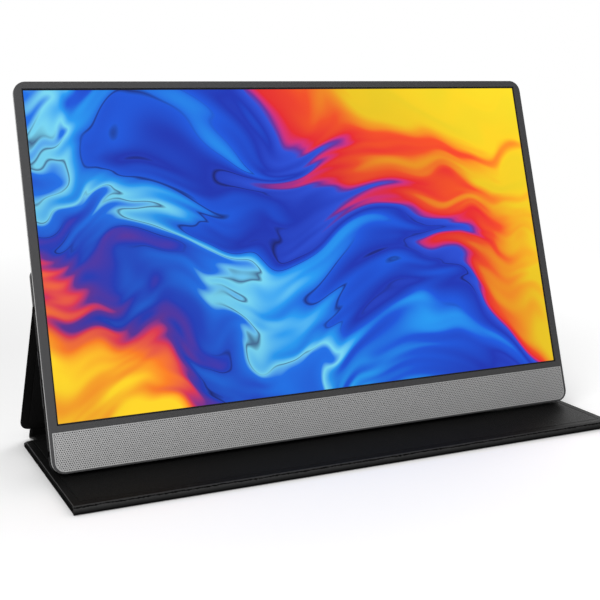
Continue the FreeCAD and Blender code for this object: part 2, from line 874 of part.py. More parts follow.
def flap_panel():
    """Folded-under half of the cover, with thin magnets in its board that hold it shut."""
    far = -flap_rear_y
    radii = (free_corner, free_corner, 0, 0)
    skin, board, lining = cover_panel(far, -panel_front_y, panel_thickness, radii)
    low = far + flap_magnet_inset
    half = flap_magnet_length / 2
    magnets = [slab(x - half, x + half, low, low + flap_magnet_height, lining_thickness,
                    lining_thickness + flap_magnet_thickness) for x in flap_magnet_places]
    return skin, board.cut(magnets), lining, group(magnets)


def top_fold():
    """Soft strip from the attachment strip down to the leg's upper edge."""
    half = soft_thickness / 2
    to_body = body_place.inverse()
    middle = panel_thickness / 2
    faces = [Vector(0, middle + sign * half, -leg_start) for sign in (-1, 1)]
    ends = [to_body.multVec(leg_place.multVec(face)) for face in faces]
    upper = [Vector(0, strip_back - soft_thickness, strip_bottom), Vector(0, strip_back, strip_bottom)]
    shift = Vector(-half_width, 0, 0)
    inner = Part.LineSegment(upper[0] + shift, ends[0] + shift).toShape()
    foot = Part.LineSegment(ends[0] + shift, ends[1] + shift).toShape()
    across = (ends[1] + upper[1]) * 0.5
    normal = Vector(0, upper[1].z - ends[1].z, ends[1].y - upper[1].y).normalize()
    outer = Part.Arc(ends[1] + shift, across + normal * (half / 2) + shift, upper[1] + shift).toShape()
    head = Part.LineSegment(upper[1] + shift, upper[0] + shift).toShape()
    return Part.Face(Part.Wire([inner, foot, outer, head])).extrude(Vector(2 * half_width, 0, 0))


def spine_band():
    """Soft band from the leg's lower edge to the crease on the table, and over the flap's end to the base."""
    half = soft_thickness / 2
    middle = panel_thickness / 2
    crease = Vector(0, crease_y, crease_z)
    leg_end = leg_place.multVec(Vector(0, middle, -(leg_start + leg_length)))
    base_level = cover_top - middle
    path = [(crease_y, crease_z), (flap_rear_y, base_level), (panel_rear_y, base_level)]
    sides = [Vector(0, y, z) for y, z in band(path, soft_thickness)]
    leg_way = (leg_end - crease).normalize()
    base_way = Vector(0, flap_rear_y - crease_y, base_level - crease_z).normalize()
    leg_out = Vector(0, leg_way.z, -leg_way.y) * half
    corner = (leg_way + base_way).normalize()
    reach = half / math.sin(leg_way.getAngle(base_way) / 2)
    low = crease + (leg_out + sides[0] - crease).normalize() * half
    shift = Vector(-soft_half, 0, 0)
    points = [leg_end + leg_out, crease + leg_out] + sides[:5] + [crease + corner * reach, leg_end - leg_out]
    points = [point + shift for point in points]
    edges = [Part.Arc(points[1], low + shift, points[2]).toShape()]
    for start, stop in zip(points[2:] + points[:1], points[3:] + points[:2]):
        edges.append(Part.LineSegment(start, stop).toShape())
    return Part.Face(Part.Wire(Part.__sortEdges__(edges))).extrude(Vector(2 * soft_half, 0, 0))


def front_fold():
    """Soft rolled hem that joins the base to the flap folded under it."""
    inner = roll_radius - soft_thickness
    shift = Vector(-half_width, 0, 0)

    def hem(radius):
        top = Vector(0, roll_y, roll_radius + radius) + shift
        nose = Vector(0, roll_y - radius, roll_radius) + shift
        under = Vector(0, roll_y, roll_radius - radius) + shift
        return top, nose, under

    edges = []
    for radius in (roll_radius, inner):
        top, nose, under = hem(radius)
        edges.append(Part.Arc(top, nose, under).toShape())
        for point in (top, under):
            back = Vector(point.x, panel_front_y, point.z)
            edges.append(Part.LineSegment(point, back).toShape())
    for outer_point, inner_point in zip(hem(roll_radius)[::2], hem(inner)[::2]):
        start = Vector(outer_point.x, panel_front_y, outer_point.z)
        stop = Vector(inner_point.x, panel_front_y, inner_point.z)
        edges.append(Part.LineSegment(start, stop).toShape())
    return Part.Face(Part.Wire(Part.__sortEdges__(edges))).extrude(Vector(2 * half_width, 0, 0))


def save_monitor():
    """Every node that leans with the monitor."""
    nodes = {
        "front_bezel": front_bezel(),
        "chin_grille": chin_grille(),
        "edge_frame": edge_frame(),
        "rear_cover": rear_cover(),
        "screen_film": screen_film(),
        "lcd_cell": lcd_cell(),
        "optical_films": guide_sheet(cell_back, optical_back),
        "light_guide": guide_sheet(optical_back, guide_back),
        "reflector_sheet": guide_sheet(guide_back, reflector_back),
        "led_bar": led_bar(),
        "panel_mould_frame": mould_frame(),
        "panel_tray": panel_tray(),
        "panel_tapes": panel_tapes(),
        "magnet_plate": magnet_plate(),
        "source_board": source_board(),
        "main_board": main_board(),
        "button_board": button_board(),
        "board_screws": board_screws(),
        "main_chip": chip_block(chip_size, board_back, chip_back),
        "thermal_pad": chip_block(pad_size, chip_back, cavity_back),
        "board_sockets": board_sockets(),
        "panel_cable": panel_cable(),
        "button_cable": button_cable(),
        "speaker_wires": speaker_wires(),
        "usb_c_port_lower": usb_port(usb_lower_level),
        "usb_c_port_upper": usb_port(usb_upper_level),
        "mini_hdmi_port": hdmi_port(),
        "audio_jack": audio_jack(),
        "side_switches": side_switches(),
        "power_button": power_button(),
        "menu_rocker": menu_rocker(),
        "speaker_left": speaker(-1),
        "speaker_right": speaker(1),
        "top_fold": top_fold(),
    }
    for name, shape in nodes.items():
        save(name, shape, body_place)
    raise_back = Placement(Vector(0, edge_thickness, 0), Rotation())
    layers = strip_panel()
    for layer, shape in zip(("skin", "core", "lining", "magnets"), layers):
        save("strip_" + layer, shape, body_place.multiply(raise_back))


def save_cover():
    """Every node of the leg, the base, the flap and their soft folds."""
    layers = ("skin", "board", "lining", "magnets")
    leg_radii = (foot_corner, foot_corner, 0, 0)
    leg = cover_panel(-leg_start - leg_length, -leg_start, panel_thickness, leg_radii)
    for layer, shape in zip(layers, leg):
        save("leg_" + layer, shape, leg_place)
    base_radii = (0, 0, free_corner, free_corner)
    skin, board, lining = cover_panel(panel_front_y, panel_rear_y, panel_thickness, base_radii)
    for layer, shape in zip(layers, (skin, board, grooved_lining(lining))):
        save("base_" + layer, shape, base_place)
    for layer, shape in zip(layers, flap_panel()):
        save("flap_" + layer, shape, flap_place)
    save("spine_band", spine_band())
    save("front_fold", front_fold())


def print_axes():
    """Joint axes and turns, for the record."""
    pivot = body_place.multVec(Vector(-half_width + menu_pivot_inset, 0, menu_level))
    back = body_place.Rotation.multVec(Vector(0, 1, 0))
    mouth = body_place.multVec(Vector(-inner_half, jack_level_depth, jack_level))
    print("leg hinge at", 0, crease_y, crease_z, "turns back", math.degrees(leg_turn) + 90)
    print("top fold at", 0, fold_y, fold_z, "closes by", math.degrees(leg_turn - body_turn))
    print("front fold at", 0, roll_y, roll_radius)
    print("menu pivot at", pivot, "along", back)
    print("jack mouth at", mouth, "leans back", -math.degrees(body_turn))


os.makedirs("parts", exist_ok=True)
save_monitor()
save_cover()
print_axes()
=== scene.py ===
"""Looks of a portable monitor in its folding cover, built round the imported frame.

Metres, +Z up, the screen faces -Y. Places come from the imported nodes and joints.
"""
import json
import math
import bmesh
import bpy
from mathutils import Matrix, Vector, noise


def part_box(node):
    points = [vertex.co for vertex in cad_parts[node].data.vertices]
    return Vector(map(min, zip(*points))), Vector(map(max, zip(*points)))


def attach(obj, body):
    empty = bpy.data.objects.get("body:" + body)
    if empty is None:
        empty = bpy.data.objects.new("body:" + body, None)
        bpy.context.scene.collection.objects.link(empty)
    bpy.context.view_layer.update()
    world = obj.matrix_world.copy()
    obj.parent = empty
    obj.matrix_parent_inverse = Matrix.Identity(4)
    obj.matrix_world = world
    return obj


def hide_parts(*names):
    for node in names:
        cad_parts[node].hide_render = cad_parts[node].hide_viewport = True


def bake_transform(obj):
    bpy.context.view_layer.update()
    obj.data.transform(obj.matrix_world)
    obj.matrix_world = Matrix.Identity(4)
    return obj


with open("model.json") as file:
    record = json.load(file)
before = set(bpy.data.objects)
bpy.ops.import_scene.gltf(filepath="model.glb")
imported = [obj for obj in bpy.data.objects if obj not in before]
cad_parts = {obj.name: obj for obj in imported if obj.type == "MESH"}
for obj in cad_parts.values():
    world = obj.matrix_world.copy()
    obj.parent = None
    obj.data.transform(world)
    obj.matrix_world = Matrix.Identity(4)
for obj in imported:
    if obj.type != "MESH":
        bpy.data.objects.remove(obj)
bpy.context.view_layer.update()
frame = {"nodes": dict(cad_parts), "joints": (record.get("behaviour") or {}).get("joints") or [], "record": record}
nodes = frame["nodes"]
record = frame["record"]
joints = {joint["name"]: joint for joint in frame["joints"]}

MM = 0.001
ACROSS = Vector((1, 0, 0))

# Cover sizes
TURN_IN = 5.0 * MM
LINING = 0.5 * MM
SOFT = 1.0 * MM
EDGE_ROUND = 0.55 * MM
PRESS_LINE = 2.2 * MM
FREE_CORNER = 4.5 * MM
FOOT_CORNER = 6.0 * MM
SQUARE_CORNER = 0.3 * MM
GROOVE_WIDTH = 7.0 * MM
GROOVE_DEPTH = 0.25 * MM
GROOVE_PITCH = 20.0 * MM
GROOVE_PLACE = -17.0 * MM
PRESS_DEPTH = 0.25 * MM
LINING_SOFT = 0.25 * MM
LINING_BED = 0.02 * MM
CORNER_STEPS = 8

# Sections: the turned-in border as insets and depths, the pressed line as millimetres and shares of its depth,
# a groove as shares of its width and depth, and a lining's soft edge as shares of its softness
BORDER_SECTION = ((TURN_IN + 0.3 * MM, LINING), (TURN_IN, LINING), (TURN_IN - 0.05 * MM, 0.15 * MM),
                  (TURN_IN - 0.25 * MM, 0.02 * MM), (TURN_IN - 0.6 * MM, 0.0), (EDGE_ROUND + 0.2 * MM, 0.0))
PRESS_SECTION = ((-0.6, 0.0), (-0.3, 0.3), (0.0, 1.0), (0.3, 0.3), (0.6, 0.0), (1.0, 0.0))
GROOVE_SECTION = ((-0.5, 0.0), (-0.42, 0.35), (-0.3, 1.0), (0.3, 1.0), (0.42, 0.35), (0.5, 0.0))
LINING_SECTION = ((0.2, 0.6), (0.5, 0.15), (1.0, 0.0))

# Places of a skin's materials: outer face, turned-in border in painted shade, rim as a painted highlight on the
# base and flap and in painted shade on the leg, sides in painted shade except on the strip
FACE, BORDER, RIM_TONE, SIDE = range(4)

# Soft folds: how far a bend reaches, and the size and rate of its small creases
SPINE_BEND = 2.5 * MM
SPINE_WRINKLE = 0.06 * MM
TOP_BEND = 0.9 * MM
TOP_BEND_STEPS = 6
TOP_BULGE = 0.35 * MM
TOP_WRINKLE = 0.04 * MM
WRINKLE_ALONG = 260
WRINKLE_ACROSS = 900

# Rolled front edge: angles in degrees round the roll, from its top to its underside
HEM_STATIONS = 520
HEM_CREASE = 129.0
HEM_CREASE_WIDTH = 10.5
HEM_CREASE_DEPTH = 0.4 * MM
HEM_FOOT_POWER = 6.0
HEM_RIPPLE = 0.04 * MM
HEM_WANDER_RATES = (90.0, 310.0, 900.0, 2100.0)
HEM_ANGLES = (90, 96, 101, 105, 108, 111, 114, 117, 119.5, 122, 124.5, 127, 130, 133, 136, 140, 146, 153,
              160, 170, 180, 190, 200, 208, 215, 220, 225, 230, 237, 246, 256, 270)

# Chin grille
HOLE_PITCH = 1.3 * MM
HOLE_RADIUS = 0.36 * MM
HOLE_DEPTH = 0.5 * MM
RIM_WIDTH = 0.7 * MM
MESH_SINK = 0.08 * MM
GRILLE_CORNER = 5.8 * MM
GRILLE_SOFT = 0.12 * MM
GRILLE_FLOOR = MESH_SINK + HOLE_DEPTH + 0.05 * MM
CORNER_GRID = 0.01 * MM

# Lit area of the screen, and the turn in degrees, stretch, slope and colours of its flowing ribbons
LIT_WIDTH = 344.16 * MM
LIT_HEIGHT = 193.6 * MM
RIBBON_TURN = -38
RIBBON_SHAPE = (0.5, 3.4, 1.0)
RIBBON_SLOPE = (-0.17, -0.2, 0.0)
COOL_TONE = 0.57
PICTURE_COLOURS = (
    (0.0, "ffe31a"), (0.15, "ffd514"), (0.22, "ff9c12"), (0.285, "fb4f1a"), (0.34, "ee2127"),
    (0.364, "d8287c"), (0.384, "6a2a9e"), (0.402, "2350dc"), (0.47, "0d30b6"), (0.54, "0a55dc"),
    (0.59, "1b9af2"), (0.635, "7ad9f2"), (0.66, "0e6fe6"), (0.74, "1236b8"), (0.79, "5d2c96"),
    (0.83, "e2314e"), (0.89, "ff7d14"), (1.0, "ffd51a"))

# Metal and film: depths inside a socket's mouth between which painted shade darkens its steel, and stretched
# grains
SOCKET_DARK = 0.5 * MM
SOCKET_BRIGHT = 0.1 * MM
DRAWN_GRAIN = (60.0, 1500.0, 1500.0)
STEEL_GRAIN = (60.0, 900.0, 900.0)
RIBBON_GRAIN = (30.0, 30.0, 1600.0)

# Floor: white that it shows by itself at its left and right, the contact shade, and where it fades to white
FLOOR_REACH = 6.0
FLOOR_DROP = -0.2 * MM
FLOOR_LIFT = (0.23, 0.4)
FLOOR_LIFT_SPAN = (-0.2, 0.25)
FLOOR_FADE_SPAN = (0.35, 0.85)
CONTACT_REACH = 32.0 * MM
CONTACT_TONE = 0.45
WHITE = (1.0, 1.0, 1.0, 1.0)

# Light: strength of the surroundings, and each lamp's place, aim, side and power
WORLD_LIGHT = 0.33
LAMPS = {"key": ((-0.58, -0.52, 0.5), (-0.1, 0, 0.08), 0.5, 5.2),
         "rim": ((1.1, 1.0, 0.7), (0.15, 0, 0.02), 0.8, 10)}

# Camera, fitted to the photograph's 600 pixel square
CAMERA_PLACE = (-0.31082, -0.62377, 0.22523)
CAMERA_HEADING = 25.15
CAMERA_PITCH = 9.79
CAMERA_LENS = 67.61
CAMERA_SHIFT = (0.0087, -0.0458)
CAMERA_SENSOR = 36.0


class Panel:
    """Own axes and extents of a flat node: across, up its length, and out of its widest side."""

    def __init__(self, node, out=None):
        mesh = nodes[node].data
        self.out = out or max(mesh.polygons, key=lambda side: side.area).normal.copy()
        self.up = ACROSS.cross(self.out)
        places = [vertex.co for vertex in mesh.vertices]
        self.x0, self.x1 = self.extent(places, ACROSS)
        self.s0, self.s1 = self.extent(places, self.up)
        self.t0, self.t1 = self.extent(places, self.out)
        self.thickness = self.t1 - self.t0

    @staticmethod
    def extent(places, axis):
        along = [place.dot(axis) for place in places]
        return min(along), max(along)

    def at(self, x, s, t):
        """Point by distances across, up from the lower end and out from the inner face."""
        return ACROSS * x + self.up * (self.s0 + s) + self.out * (self.t0 + t)


def srgb(code):
    """Linear colour from a hex code."""
    parts = [int(code[index:index + 2], 16) / 255 for index in (0, 2, 4)]
    linear = [part / 12.92 if part <= 0.04045 else ((part + 0.055) / 1.055) ** 2.4 for part in parts]
    return (*linear, 1.0)


def toned(colour, share):
    """The same colour, lighter or darker."""
    return (*[min(part * share, 1.0) for part in colour[:3]], 1.0)


class Shader:
    """Short way to add and join the nodes of one material."""

    def __init__(self, name):
        self.material = bpy.data.materials.new(name)
        self.material.use_nodes = True
        self.tree = self.material.node_tree
        self.surface = self.tree.nodes["Principled BSDF"]
        coordinates = self.add("ShaderNodeTexCoord")
        self.place = coordinates.outputs["Object"]
        self.normal = coordinates.outputs["Normal"]

    def add(self, kind, inputs=None, **settings):
        node = self.tree.nodes.new(kind)
        for key, value in settings.items():
            setattr(node, key, value)
        for key, value in (inputs or {}).items():
            self.set(node.inputs[key], value)
        return node

    def set(self, socket, value):
        if isinstance(value, bpy.types.NodeSocket):
            self.tree.links.new(value, socket)
        else:
            socket.default_value = value

    def finish(self, **sockets):
        for key, value in sockets.items():
            self.set(self.surface.inputs[key.replace("_", " ")], value)
        return self.material

    def noise(self, scale, detail=3.0, vector=None):
        inputs = {"Vector": vector or self.place, "Scale": scale, "Detail": detail}
        return self.add("ShaderNodeTexNoise", inputs)

    def stretched(self, scale):
        return self.add("ShaderNodeMapping", {"Vector": self.place, "Scale": scale}).outputs[0]

    def math(self, operation, first, second=0.0, third=0.0):
        return self.add("ShaderNodeMath", {0: first, 1: second, 2: third}, operation=operation).outputs[0]

    def vector(self, operation, first, second):
        node = self.add("ShaderNodeVectorMath", {0: first, 1: second}, operation=operation)
        return node.outputs["Value" if operation == "DOT_PRODUCT" else "Vector"]

    def span(self, value, low, high, start=0.0, stop=1.0):
        inputs = {"Value": value, "From Min": start, "From Max": stop, "To Min": low, "To Max": high}
        return self.add("ShaderNodeMapRange", inputs).outputs[0]

    def ramp(self, value, stops):
        node = self.add("ShaderNodeValToRGB", {0: value})
        elements = node.color_ramp.elements
        while len(elements) < len(stops):
            elements.new(0.5)
        for element, (position, colour) in zip(elements, stops):
            element.position = position
            element.color = colour
        return node.outputs[0]

    def mix(self, kind, share, first, second):
        node = self.add("ShaderNodeMix", {0: share, 6: first, 7: second}, data_type="RGBA", blend_type=kind)
        return node.outputs[2]

    def bump(self, height, strength, depth):
        inputs = {"Height": height, "Strength": strength, "Distance": depth}
        return self.add("ShaderNodeBump", inputs).outputs[0]


def mottled(name, colour, roughness, grain, spread=0.1, relief=0.25, depth=0.03 * MM, stretch=None,
            **sockets):
    """Moulded or rolled surface: fine grain shifts its colour, gloss and height."""
    shader = Shader(name)
    place = shader.stretched(stretch) if stretch else shader.place
    fine = shader.noise(grain, 4.0, place).outputs[0]
    broad = shader.noise(14.0, 2.0).outputs[0]
    tone = shader.math("MULTIPLY_ADD", broad, 0.5, shader.math("MULTIPLY", fine, 0.5))
    colour = srgb(colour)
    base = shader.ramp(tone, [(0.3, toned(colour, 1 - spread)), (0.7, toned(colour, 1 + spread))])
    gloss = shader.span(fine, roughness - 0.06, roughness + 0.06, 0.3, 0.7)
    return shader.finish(Base_Color=base, Roughness=gloss, Normal=shader.bump(fine, relief, depth), **sockets)


def leather(name, colour, roughness, grain, shine, shade_heights=None, relief=0.06 * MM):
    """Coated leather: closed cells with pores over broad uneven gloss, and painted shade that darkens it downwards
    between two given heights.
    """
    shader = Shader(name)
    warp = shader.noise(grain * 0.6, 2.0).outputs["Color"]
    place = shader.mix("LINEAR_LIGHT", 0.9 / grain, shader.place, warp)
    cells = shader.add("ShaderNodeTexVoronoi", {"Vector": place, "Scale": grain}, feature="DISTANCE_TO_EDGE")
    ridge = shader.span(cells.outputs["Distance"], 0.0, 1.0, 0.0, 0.28)
    pores = shader.noise(grain * 2.4, 3.0).outputs[0]
    broad = shader.noise(9.0, 3.0).outputs[0]
    height = shader.math("MULTIPLY_ADD", pores, 0.35, ridge)
    colour = srgb(colour)
    tone = shader.math("MULTIPLY_ADD", ridge, 0.35, shader.math("MULTIPLY", broad, 0.65))
    base = shader.ramp(tone, [(0.25, toned(colour, 0.78)), (0.8, toned(colour, 1.22))])
    # Painted shade: the colour darkens downwards between the two heights
    if shade_heights:
        height_up = shader.add("ShaderNodeSeparateXYZ", {0: shader.place}).outputs["Z"]
        shade = shader.span(height_up, 0.0, 1.0, *shade_heights)
        base = shader.mix("MIX", shade, toned(colour, 0.1), base)
    gloss = shader.math("ADD", shader.span(broad, roughness - 0.07, roughness + 0.07, 0.35, 0.65),
                        shader.math("MULTIPLY", ridge, -0.05))
    return shader.finish(Base_Color=base, Roughness=gloss, Normal=shader.bump(height, 0.5, relief),
                         Specular_IOR_Level=shine)


def moulded_shell(name, back):
    """Moulded housing: a fine spark-eroded grain on its back and smoother sides, which painted shade makes near
    black while the back stays a lighter grey.
    """
    shader = Shader(name)
    # Painted shade by how far a surface turns towards the back: near black on the sides, a lighter grey on the
    # back; the same share also weakens the relief on the sides
    lit_back = shader.span(shader.vector("DOT_PRODUCT", shader.normal, tuple(back)), 0.0, 1.0, 0.55, 0.9)
    fine = shader.noise(2600.0, 4.0).outputs[0]
    pits = shader.add("ShaderNodeTexVoronoi", {"Vector": shader.place, "Scale": 1300.0}).outputs["Distance"]
    grain = shader.math("MULTIPLY_ADD", pits, 0.6, shader.math("MULTIPLY", fine, 0.4))
    broad = shader.noise(11.0, 2.0).outputs[0]
    tone = shader.math("MULTIPLY_ADD", broad, 0.4, shader.math("MULTIPLY", grain, 0.6))
    rear = shader.ramp(tone, [(0.25, srgb("232325")), (0.65, srgb("303033"))])
    base = shader.mix("MIX", lit_back, srgb("070708"), rear)
    relief = shader.math("MULTIPLY", grain, shader.span(lit_back, 0.2, 1.0))
    return shader.finish(Base_Color=base, Roughness=shader.span(fine, 0.42, 0.58, 0.3, 0.7),
                         Normal=shader.bump(relief, 0.5, 0.06 * MM), Specular_IOR_Level=0.01)


def socket_steel(name, mouth):
    """Drawn steel shell, with painted shade that darkens it a little way inside its mouth."""
    shader = Shader(name)
    across = shader.add("ShaderNodeSeparateXYZ", {0: shader.place}).outputs["X"]
    drawn = shader.noise(1.0, 4.0, shader.stretched(DRAWN_GRAIN)).outputs[0]
    steel = shader.ramp(drawn, [(0.3, srgb("a4a4a6")), (0.7, srgb("c6c6c8"))])
    # Painted shade inside the socket's mouth
    lit = shader.span(across, 0.0, 1.0, mouth - SOCKET_DARK, mouth - SOCKET_BRIGHT)
    base = shader.mix("MIX", lit, srgb("08080a"), steel)
    return shader.finish(Base_Color=base, Roughness=shader.span(drawn, 0.24, 0.4, 0.3, 0.7), Metallic=1.0,
                         Normal=shader.bump(drawn, 0.15, 0.02 * MM))


def circuit(name):
    """Circuit board: solder mask with pale tracks and pads."""
    shader = Shader(name)
    tracks = shader.add("ShaderNodeTexBrick", {"Vector": shader.place, "Scale": 190.0, "Mortar Size": 0.03})
    mask = shader.span(tracks.outputs["Fac"], 0.0, 1.0)
    base = shader.ramp(mask, [(0.0, srgb("12401f")), (1.0, srgb("3d7a45"))])
    grain = shader.noise(900.0).outputs[0]
    return shader.finish(Base_Color=base, Roughness=shader.span(grain, 0.3, 0.45),
                         Normal=shader.bump(mask, 0.3, 0.03 * MM))


def lit_picture(name, panel):
    """Screen under a matt film: flowing ribbons of colour inside a black edge."""
    shader = Shader(name)
    middle = panel.at(0, (panel.s1 - panel.s0) / 2, 0)
    offset = shader.vector("SUBTRACT", shader.place, tuple(middle))
    across = shader.vector("DOT_PRODUCT", offset, tuple(ACROSS))
    up = shader.vector("DOT_PRODUCT", offset, tuple(panel.up))
    half = LIT_HEIGHT / 2
    plane = shader.add("ShaderNodeCombineXYZ", {0: shader.math("DIVIDE", across, half),
                                                1: shader.math("DIVIDE", up, half)}).outputs[0]
    slow = shader.noise(0.62, 0.0, plane).outputs["Color"]
    flow = shader.mix("LINEAR_LIGHT", 0.85, plane, slow)
    quick = shader.noise(1.7, 1.0, flow).outputs["Color"]
    swirl = shader.mix("LINEAR_LIGHT", 0.3, flow, quick)
    turned = {"Vector": swirl, "Rotation": (0.0, 0.0, math.radians(RIBBON_TURN)), "Scale": RIBBON_SHAPE}
    ribbons = shader.noise(1.0, 2.0, shader.add("ShaderNodeMapping", turned).outputs[0]).outputs[0]
    slope = shader.vector("DOT_PRODUCT", swirl, RIBBON_SLOPE)
    tone = shader.math("MULTIPLY_ADD", ribbons, 0.62, shader.math("ADD", slope, 0.19))
    paint = shader.ramp(tone, [(place, srgb(code)) for place, code in PICTURE_COLOURS])
    rings = shader.math("PINGPONG", shader.math("MULTIPLY", tone, 11.0), 0.5)
    patches = shader.noise(1.1, 1.0, flow).outputs[0]
    warmth = shader.math("ABSOLUTE", shader.math("SUBTRACT", tone, COOL_TONE))
    drawn = shader.math("MULTIPLY", shader.span(patches, 0.0, 0.85, 0.48, 0.58),
                        shader.span(warmth, 1.0, 0.0, 0.16, 0.22))
    edge = shader.ramp(rings, [(0.0, (0.12, 0.07, 0.2, 1.0)), (0.06, WHITE)])
    paint = shader.mix("MULTIPLY", drawn, paint, edge)
    gloss = shader.ramp(ribbons, [(0.3, (0.8, 0.8, 0.84, 1.0)), (0.62, WHITE)])
    paint = shader.mix("MULTIPLY", 1.0, paint, gloss)
    inside_width = shader.math("LESS_THAN", shader.math("ABSOLUTE", across), LIT_WIDTH / 2)
    inside_height = shader.math("LESS_THAN", shader.math("ABSOLUTE", up), LIT_HEIGHT / 2)
    inside = shader.math("MULTIPLY", inside_width, inside_height)
    light = shader.mix("MIX", inside, (0.004, 0.004, 0.004, 1.0), paint)
    grain = shader.noise(5000.0, 2.0).outputs[0]
    return shader.finish(Base_Color=(0.006, 0.006, 0.007, 1.0), Roughness=shader.span(grain, 0.34, 0.44),
                         Emission_Color=light, Emission_Strength=1.0, Specular_IOR_Level=0.12)


def make_materials(screen_panel, back):
    """One material for each of the record's slots, and those that only the scene's pieces use."""
    return {
        "bezel_grey": mottled("bezel_grey", "434344", 0.5, 2600.0, 0.06, Specular_IOR_Level=0.2),
        "grille_grey": mottled("grille_grey", "a9a9a9", 0.45, 3000.0, 0.05),
        # Darker copy for the walls and floors of the holes: painted shade in the holes
        "grille_hole_shade": mottled("grille_hole_shade", "2c2c2c", 0.6, 3000.0, 0.1),
        "frame_silver": mottled("frame_silver", "9a9a9a", 0.36, 3200.0, 0.05, Metallic=0.6),
        "shell_black": moulded_shell("shell_black", back),
        "screen": lit_picture("screen", screen_panel),
        "cell_glass": mottled("cell_glass", "1a1d22", 0.08, 700.0, 0.05, 0.05),
        "optics_white": mottled("optics_white", "eeeeec", 0.5, 1200.0, 0.03, 0.1),
        "optics_clear": mottled("optics_clear", "e4ebee", 0.12, 900.0, 0.03, 0.05, Transmission_Weight=0.6),
        "sheet_steel": mottled("sheet_steel", "b4b4b6", 0.32, 1.0, 0.1, 0.15, 0.02 * MM, STEEL_GRAIN,
                               Metallic=1.0),
        "tape_black": mottled("tape_black", "1d1d1d", 0.5, 1500.0, 0.12),
        "board_green": circuit("board_green"),
        "chip_black": mottled("chip_black", "232324", 0.5, 2200.0, 0.12),
        "pad_grey": mottled("pad_grey", "8b95a3", 0.7, 1600.0, 0.08),
        "socket_cream": mottled("socket_cream", "ddd2b8", 0.45, 1800.0, 0.06),
        "ribbon_amber": mottled("ribbon_amber", "b97a22", 0.3, 1.0, 0.15, 0.3, 0.03 * MM, RIBBON_GRAIN),
        "wire_black": mottled("wire_black", "1c1c1d", 0.42, 1500.0, 0.1),
        "port_steel": socket_steel("port_steel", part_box("usb_c_port_lower")[1].x),
        "key_black": mottled("key_black", "151517", 0.4, 2400.0, 0.15, Specular_IOR_Level=0.01),
        "magnet_nickel": mottled("magnet_nickel", "c8c6c0", 0.25, 1400.0, 0.05, Metallic=1.0),
        "board_fibre": mottled("board_fibre", "6d6153", 0.85, 1100.0, 0.2, 0.5, 0.08 * MM),
        "leather_black": leather("leather_black", "1d1d1e", 0.44, 560.0, 0.15, relief=0.3 * MM),
        # Darker, duller copy of the outer leather for the turned-in borders and one side of each soft fold:
        # painted shade
        "leather_turn_shade": leather("leather_turn_shade", "141414", 0.43, 1500.0, 0.012),
        # Lighter copy for the rims of the base and flap: a painted highlight
        "leather_edge_highlight": leather("leather_edge_highlight", "303030", 0.45, 1500.0, 0.1),
        # Lighter copy of the leather for the rolled front edge, a painted highlight, with painted shade that
        # darkens it towards the bottom
        "leather_roll_lit_shaded": leather("leather_roll_lit_shaded", "393939", 0.5, 1500.0, 0.01, (1.0 * MM, 3.4 * MM)),
        # Near black copy for the panels' sides and the leg's rim: painted shade
        "leather_side_shade": leather("leather_side_shade", "0a0a0a", 0.55, 1500.0, 0.0015),
        "lining_black": leather("lining_black", "171717", 0.42, 2100.0, 0.013),
        # Near black for the crease along the rolled front edge: painted shade
        "crease_shade": mottled("crease_shade", "070707", 0.85, 1500.0, 0.2, Specular_IOR_Level=0.05),
    }


def dress_nodes(materials):
    """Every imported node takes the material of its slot."""
    for entry in record["subparts"]:
        slots = nodes[entry["node"]].data.materials
        slots.clear()
        slots.append(materials[entry["material_slot"]])


def piece(name, points, faces, materials, slot, replaced=(), body=None, smooth=True):
    """A new mesh piece in the shared frame."""
    mesh = bpy.data.meshes.new(name)
    mesh.from_pydata([tuple(point) for point in points], [], faces)
    shape = bmesh.new()
    shape.from_mesh(mesh)
    bmesh.ops.recalc_face_normals(shape, faces=shape.faces)
    shape.to_mesh(mesh)
    shape.free()
    mesh.polygons.foreach_set("use_smooth", [smooth] * len(mesh.polygons))
    mesh.materials.append(materials[slot])
    made = bpy.data.objects.new(name, mesh)
    bpy.context.scene.collection.objects.link(made)
    if smooth:
        made.modifiers.new("normals", "WEIGHTED_NORMAL")
    if replaced:
        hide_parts(*replaced)
    if body:
        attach(made, body)
    return made


def ring(panel, inset, level, radii):
    """Points round a panel's outline, drawn in by an inset at one depth from its inner face."""
    length = panel.s1 - panel.s0
    corners = ((panel.x0, 0.0, 1, 1, 180), (panel.x1, 0.0, -1, 1, 270),
               (panel.x1, length, -1, -1, 0), (panel.x0, length, 1, -1, 90))
    points = []
    for (x, s, to_x, to_s, start), radius in zip(corners, radii):
        bend = max(radius - inset, SQUARE_CORNER / 2)
        for step in range(CORNER_STEPS + 1):
            angle = math.radians(start + 90 * step / CORNER_STEPS)
            points.append(panel.at(x + to_x * (inset + bend) + bend * math.cos(angle),
                                   s + to_s * (inset + bend) + bend * math.sin(angle), level))
    return points


def joined_rings(rings):
    """Faces between rings of equal counts, with a cap at each end."""
    count = len(rings[0])
    faces = []
    for index in range(len(rings) - 1):
        for step in range(count):
            after = (step + 1) % count
            faces.append((index * count + step, index * count + after,
                          (index + 1) * count + after, (index + 1) * count + step))
    faces.append(tuple(range(count))[::-1])
    faces.append(tuple(range((len(rings) - 1) * count, len(rings) * count)))
    return [point for points in rings for point in points], faces


def round_edge(radius, level, turn, steps=4):
    """Insets and depths of a rounded rim: turn 1 leaves the inner face, turn -1 reaches the outer face."""
    rows = []
    for step in range(steps + 1):
        angle = math.pi / 2 * step / steps
        if turn > 0:
            rows.append((radius * (1 - math.sin(angle)), level + radius * (1 - math.cos(angle))))
        else:
            rows.append((radius * (1 - math.cos(angle)), level - radius * (1 - math.sin(angle))))
    return rows


